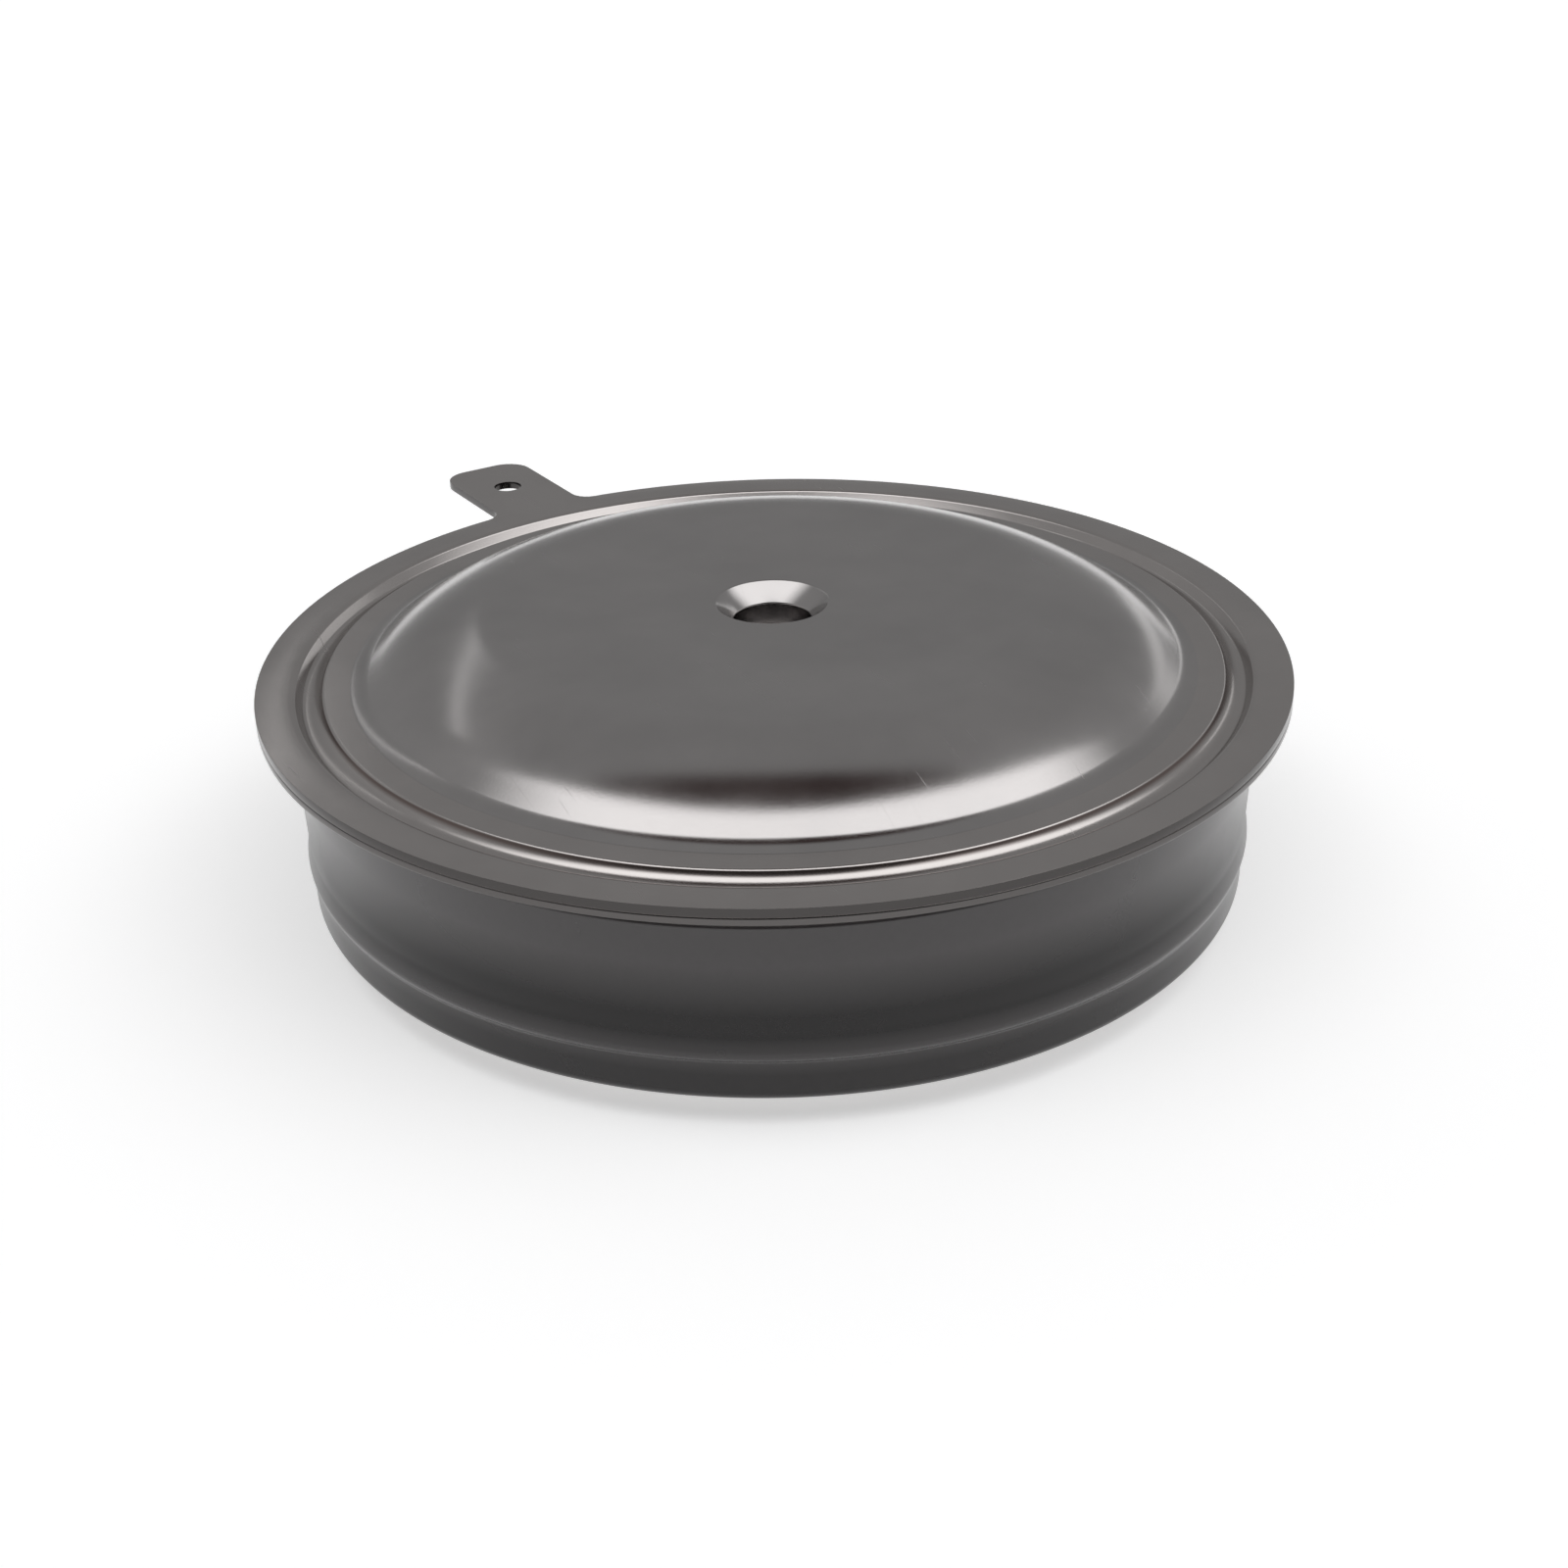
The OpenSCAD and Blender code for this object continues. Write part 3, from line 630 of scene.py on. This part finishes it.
# up the ridge: hollow out, roll over the crest, and hollow back into the wall
def ridgeLine(bm, tip, p):
    roll = p["notchRound"] + p["ridgeRound"]
    rise = math.acos(1 - (p["ridgeR"] - p["baseR"]) / roll)
    turn, flare = math.degrees(rise), p["flareTurn"]
    notchZ = p["ridgeZ"] - roll * math.sin(rise)
    tip = lineTo(bm, tip, p["baseR"], notchZ)
    tip = arcTo(bm, tip, p["baseR"] + p["notchRound"], notchZ, turn, 6)
    tip = arcTo(bm, tip, p["ridgeR"] - p["ridgeRound"], p["ridgeZ"], -turn - flare, 10)
    outer = p["ridgeRound"] + p["flareRound"]
    lean = math.radians(flare)
    hollowR = p["ridgeR"] - p["ridgeRound"] + outer * math.cos(lean)
    return arcTo(bm, tip, hollowR, p["ridgeZ"] + outer * math.sin(lean), flare, 8)


def makeWall(p):
    outerR, topZ, lowZ = wallBox[1].x, wallBox[1].z, wallBox[0].z
    bm = bmesh.new()
    first = startAt(bm, p["boreR"], lowZ)
    tip = lineTo(bm, first, p["baseR"] - p["footR"], lowZ)
    tip = arcTo(bm, tip, p["baseR"] - p["footR"], lowZ + p["footR"], -90, 10)
    tip = ridgeLine(bm, tip, p)
    edgeLow = tip = lineTo(bm, tip, outerR, topZ - p["chamfer"])
    edgeTop = tip = lineTo(bm, tip, outerR - p["chamfer"], topZ)
    tip = lineTo(bm, tip, p["boreR"], topZ)
    bm.edges.new((tip, first))
    roundCorners(bm, [edgeLow, edgeTop], p["edge"])
    turnRound(bm, p["steps"])
    piece = makePiece("wall", bm, wallGlaze, "glazed_wall", "ceramic_ring")
    cutAway(piece, roundBar(p["gateHoleR"], p["boreR"] - 2, outerR + 3, p["gateZ"]))
    cutAway(piece, roundBar(p["flatR"], p["flatY"], outerR + 3, p["gateZ"]))
    return piece


makeWall(wall)

# the lower pole: contact face underneath, rolled shoulder, and the same countersunk hole
baseBox = nodeBox("anode_pole")
basePole = {"flatR": 14.8, "crownR": 2.0, "footZ": 0.75, "brimZ": 0.9, "spigotR": 15.0, "holeR": 1.8,
            "sinkR": 2.65, "holeDepth": 2.0, "edge": 0.06, "steps": 480}


def makeBasePole(p):
    footR, top = baseBox[1].x, baseBox[1].z
    bm = bmesh.new()
    tip = startAt(bm, 0, p["holeDepth"])
    tip = lineTo(bm, tip, p["holeR"], p["holeDepth"])
    sinkTop = tip = lineTo(bm, tip, p["holeR"], p["sinkR"] - p["holeR"])
    sinkLow = tip = lineTo(bm, tip, p["sinkR"], 0)
    tip = lineTo(bm, tip, p["flatR"], 0)
    tip = sCurveTo(bm, tip, p["flatR"], 0, footR, p["footZ"], p["crownR"], 12)
    brim = tip = lineTo(bm, tip, footR, p["brimZ"])
    tip = lineTo(bm, tip, p["spigotR"], p["brimZ"])
    tip = lineTo(bm, tip, p["spigotR"], top)
    lineTo(bm, tip, 0, top)
    roundCorners(bm, [sinkTop, sinkLow, brim], p["edge"])
    turnRound(bm, p["steps"])
    return makePiece("basePole", bm, poleNickel, "pole_nickel", "anode_pole")


makeBasePole(basePole)

# the sheet ring under the wall, with its punched edge rounded
lowBox = nodeBox("lower_flange")
lowSheet = {"innerR": 15.1, "edge": 0.12, "steps": 480}


def makeLowSheet(p):
    outerR, topZ, lowZ = lowBox[1].x, lowBox[1].z, lowBox[0].z
    bm = bmesh.new()
    first = startAt(bm, p["innerR"], lowZ)
    corners = [lineTo(bm, first, outerR, lowZ)]
    corners.append(lineTo(bm, corners[0], outerR, topZ))
    last = lineTo(bm, corners[1], p["innerR"], topZ)
    bm.edges.new((last, first))
    roundCorners(bm, corners, p["edge"])
    turnRound(bm, p["steps"])
    return makePiece("lowSheet", bm, sheetNickel, "flange_sheet", "lower_flange")


makeLowSheet(lowSheet)

# the gate tube: turned on end, then laid along +Y through the wall
tubeBox = nodeBox("gate_tube")
gateTube = {"tubeR": 1.1, "boreR": 0.3, "gateZ": 7.75, "collarR": 1.8, "collarY": (22.0, 22.6),
            "edge": 0.12, "steps": 96}


def makeGateTube(p):
    backY, tipY = tubeBox[0].y, tubeBox[1].y
    bm = bmesh.new()
    first = startAt(bm, p["boreR"], backY)
    tip = lineTo(bm, first, p["tubeR"], backY)
    tip = lineTo(bm, tip, p["tubeR"], p["collarY"][0])
    collarBack = tip = lineTo(bm, tip, p["collarR"], p["collarY"][0])
    collarFront = tip = lineTo(bm, tip, p["collarR"], p["collarY"][1])
    tip = lineTo(bm, tip, p["tubeR"], p["collarY"][1])
    mouth = tip = lineTo(bm, tip, p["tubeR"], tipY)
    bore = tip = lineTo(bm, tip, p["boreR"], tipY)
    bm.edges.new((tip, first))
    roundCorners(bm, [collarBack, collarFront, bore], p["edge"] / 2)
    roundCorners(bm, [mouth], p["edge"] * 2, 5)
    turnRound(bm, p["steps"])
    laid = Matrix.Translation((0, 0, p["gateZ"] * mm)) @ Matrix.Rotation(-math.pi / 2, 4, "X")
    bmesh.ops.transform(bm, matrix=laid, verts=bm.verts[:])
    return makePiece("gateTube", bm, tinnedNickel, "flange_sheet", "gate_tube")


makeGateTube(gateTube)

# the gate terminal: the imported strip, with its stamped edges rounded
gateBlade = {"edge": 0.06, "sharp": 50.0, "flat": 0.5}


def makeGateBlade(p):
    bm = bmesh.new()
    bm.from_mesh(bpy.data.objects["gate_terminal"].data)
    bmesh.ops.remove_doubles(bm, verts=bm.verts[:], dist=mergeGap)
    flat = math.radians(p["flat"])
    bmesh.ops.dissolve_limit(bm, angle_limit=flat, verts=bm.verts[:], edges=bm.edges[:])
    sharp = [e for e in bm.edges if e.is_manifold and e.calc_face_angle() > math.radians(p["sharp"])]
    bmesh.ops.bevel(bm, geom=sharp, offset=p["edge"] * mm, offset_type="OFFSET", segments=2, profile=0.5,
                    affect="EDGES", material=-1, clamp_overlap=True)
    bmesh.ops.recalc_face_normals(bm, faces=bm.faces[:])
    return makePiece("gateBlade", bm, tinnedNickel, "flange_sheet", "gate_terminal")


makeGateBlade(gateBlade)

# finishes for the sealed parts, which stay as they are packed
inner = {"anode_disc": molybdenum, "cathode_disc": molybdenum, "silicon_wafer": waferSilicon,
         "edge_seal": sealRubber, "centering_ring": whitePolymer, "gate_insulator": whitePolymer,
         "lead_sleeve": whitePolymer, "gate_pin": gatePlate, "gate_lead": gatePlate,
         "gate_spring": springWire}
for node, material in inner.items():
    bpy.data.objects[node].data.materials[0] = material
print("inner finishes:", len(inner))

# camera at the photograph's viewing angle
view = {"azimuth": -31.6, "elevation": 25.92, "roll": -1.37, "away": 112.75, "aimZ": 7.0, "frame": 1600,
        "focal": 2404.66, "aimX": 791.0, "aimY": 751.2, "sensor": 36}


def makeCamera(v):
    a, e, roll = (math.radians(v[key]) for key in ("azimuth", "elevation", "roll"))
    back = Vector((math.sin(a) * math.cos(e), -math.cos(a) * math.cos(e), math.sin(e)))
    right = Vector((math.cos(a), math.sin(a), 0))
    up = back.cross(right)
    turned = right * math.cos(roll) + up * math.sin(roll)
    above = up * math.cos(roll) - right * math.sin(roll)
    data = bpy.data.cameras.new("camera")
    data.sensor_width = v["sensor"]
    data.lens = v["sensor"] * v["focal"] / v["frame"]
    data.shift_x = (v["frame"] / 2 - v["aimX"]) / v["frame"]
    data.shift_y = -(v["frame"] / 2 - v["aimY"]) / v["frame"]
    data.clip_start = 0.005
    camera = bpy.data.objects.new("camera", data)
    turn = Matrix((turned, above, back)).transposed().to_4x4()
    spot = Vector((0, 0, v["aimZ"])) * mm + back * v["away"] * mm
    camera.matrix_world = Matrix.Translation(spot) @ turn
    bpy.context.scene.collection.objects.link(camera)
    bpy.context.scene.camera = camera
    print("camera set")


makeCamera(view)

# pale floor that keeps the shadow and is lifted to white where it is seen
floorLook = {"size": 6.0, "color": (0.86, 0.86, 0.865), "lift": 0.44}


def makeFloor(f):
    bm = bmesh.new()
    bmesh.ops.create_grid(bm, x_segments=8, y_segments=8, size=f["size"])
    mesh = bpy.data.meshes.new("floor")
    bm.to_mesh(mesh)
    bm.free()
    material, tree, shader = newMaterial("floorPaper", f["color"], 0.0, 0.9)
    shader.inputs["Specular IOR Level"].default_value = 0.1
    rays = tree.nodes.new("ShaderNodeLightPath").outputs
    seen = mathNode(tree, "MAXIMUM", rays["Is Camera Ray"], rays["Is Glossy Ray"])
    shader.inputs["Emission Color"].default_value = (1, 1, 1, 1)
    link(tree, mathNode(tree, "MULTIPLY", seen, f["lift"]), shader.inputs["Emission Strength"])
    mesh.materials.append(material)
    floor = bpy.data.objects.new("floor", mesh)
    bpy.context.scene.collection.objects.link(floor)
    print("floor laid")


makeFloor(floorLook)

# studio light: strips at the far right and far left, and a bowed overhead light in a grey room
# that is dark on the camera's side; angles aside run from the camera, heights go over the top from 0 to 1
farStrip = {"away": 0.7, "aside": 218.0, "tilt": 13.0, "lean": -32.0, "wide": 0.5, "deep": 0.05,
            "radiance": 0.6}
leftStrip = {"away": 0.7, "aside": 148.0, "tilt": 33.0, "lean": 25.0, "wide": 0.42, "deep": 0.02,
             "radiance": 1.0}
dome = {"stops": ((0.0, 0.06), (0.04, 0.06), (0.3, 0.08), (0.36, 0.3), (0.5, 0.33), (0.85, 0.32),
                  (0.93, 0.27), (1.0, 0.34)),
        "sideAt": (0.45, 0.9), "sideLevel": 0.4, "bow": 1.0, "bowStart": -0.07, "bowSoft": 0.05,
        "nearEnd": (0.5, 0.62), "bowLow": (0.62, 0.8), "bowSkew": 0.1, "radiance": 1.95,
        "shadeAt": 0.53, "shadeDeep": 0.064, "shadeWide": 0.45, "shadeSoft": (0.4, 1.6),
        "shadeColor": (0.03, 0.012, 0.01)}


def makeLamp(name, s, v):
    a, e = math.radians(v["azimuth"] - s["aside"]), math.radians(s["tilt"])
    toBox = Vector((math.sin(a) * math.cos(e), -math.cos(a) * math.cos(e), math.sin(e)))
    right = Vector((math.cos(a), math.sin(a), 0))
    up = toBox.cross(right)
    lean = math.radians(s["lean"])
    data = bpy.data.lights.new(name, "AREA")
    data.shape = "RECTANGLE"
    data.size = s["wide"]
    data.size_y = s["deep"]
    data.energy = s["radiance"] * math.pi * s["wide"] * s["deep"]
    lamp = bpy.data.objects.new(name, data)
    across = right * math.cos(lean) + up * math.sin(lean)
    turn = Matrix((across, toBox.cross(across), toBox)).transposed().to_4x4()
    lamp.matrix_world = Matrix.Translation(toBox * s["away"]) @ turn
    bpy.context.scene.collection.objects.link(lamp)


def makeDome(d, v):
    a = math.radians(v["azimuth"])
    world = bpy.data.worlds.new("dome")
    bpy.context.scene.world = world
    world.use_nodes = True
    tree = world.node_tree
    toward = tree.nodes.new("ShaderNodeTexCoord").outputs["Generated"]

    def along(axis):
        node = tree.nodes.new("ShaderNodeVectorMath")
        node.operation = "DOT_PRODUCT"
        node.inputs[1].default_value = axis
        link(tree, toward, node.inputs[0])
        return node.outputs["Value"]

    side = along((math.cos(a), math.sin(a), 0))
    near = along((math.sin(a), -math.cos(a), 0))
    height = mathNode(tree, "MAXIMUM", along((0, 0, 1)), 0.0)
    swing = mathNode(tree, "ARCTAN2", height, near)
    swing = mathNode(tree, "DIVIDE", swing, math.pi)
    ramp = tree.nodes.new("ShaderNodeValToRGB")
    link(tree, swing, ramp.inputs["Fac"])
    stops = ramp.color_ramp.elements
    while len(stops) < len(d["stops"]):
        stops.new(0.5)
    for stop, (at, level) in zip(stops, d["stops"]):
        stop.position = at
        stop.color = (level, level, level, 1)
    aside = mapRange(tree, mathNode(tree, "ABSOLUTE", side), *d["sideAt"], 0.0, 1.0)
    room = mixColor(tree, aside, ramp.outputs["Color"], (d["sideLevel"],) * 3)
    across = mathNode(tree, "DIVIDE", side, d["shadeWide"])
    over = mathNode(tree, "DIVIDE", mathNode(tree, "SUBTRACT", swing, d["shadeAt"]), d["shadeDeep"])
    spread = mathNode(tree, "MULTIPLY", across, across)
    spread = mathNode(tree, "ADD", spread, mathNode(tree, "MULTIPLY", over, over))
    shade = mapRange(tree, spread, *d["shadeSoft"], 1.0, 0.0)
    color = mixColor(tree, shade, room, d["shadeColor"])
    bow = mathNode(tree, "MULTIPLY", mathNode(tree, "MULTIPLY", side, side), d["bow"])
    bow = mathNode(tree, "ADD", mathNode(tree, "ADD", bow, near), d["bowStart"])
    lit = mapRange(tree, bow, 0.0, d["bowSoft"], 0.0, 1.0)
    lit = mathNode(tree, "MULTIPLY", lit, mapRange(tree, near, *d["nearEnd"], 1.0, 0.0))
    skew = mathNode(tree, "ADD", height, mathNode(tree, "MULTIPLY", side, d["bowSkew"]))
    lit = mathNode(tree, "MULTIPLY", lit, mapRange(tree, skew, *d["bowLow"], 0.0, 1.0))
    color = mixColor(tree, lit, color, (d["radiance"],) * 3)
    seen = tree.nodes.new("ShaderNodeLightPath").outputs["Is Camera Ray"]
    link(tree, mixColor(tree, seen, color, (1.0, 1.0, 1.0)), tree.nodes["Background"].inputs["Color"])


makeLamp("farStrip", farStrip, view)
makeLamp("leftStrip", leftStrip, view)
makeDome(dome, view)
bpy.context.scene.view_settings.view_transform = "Standard"
print("lights set")
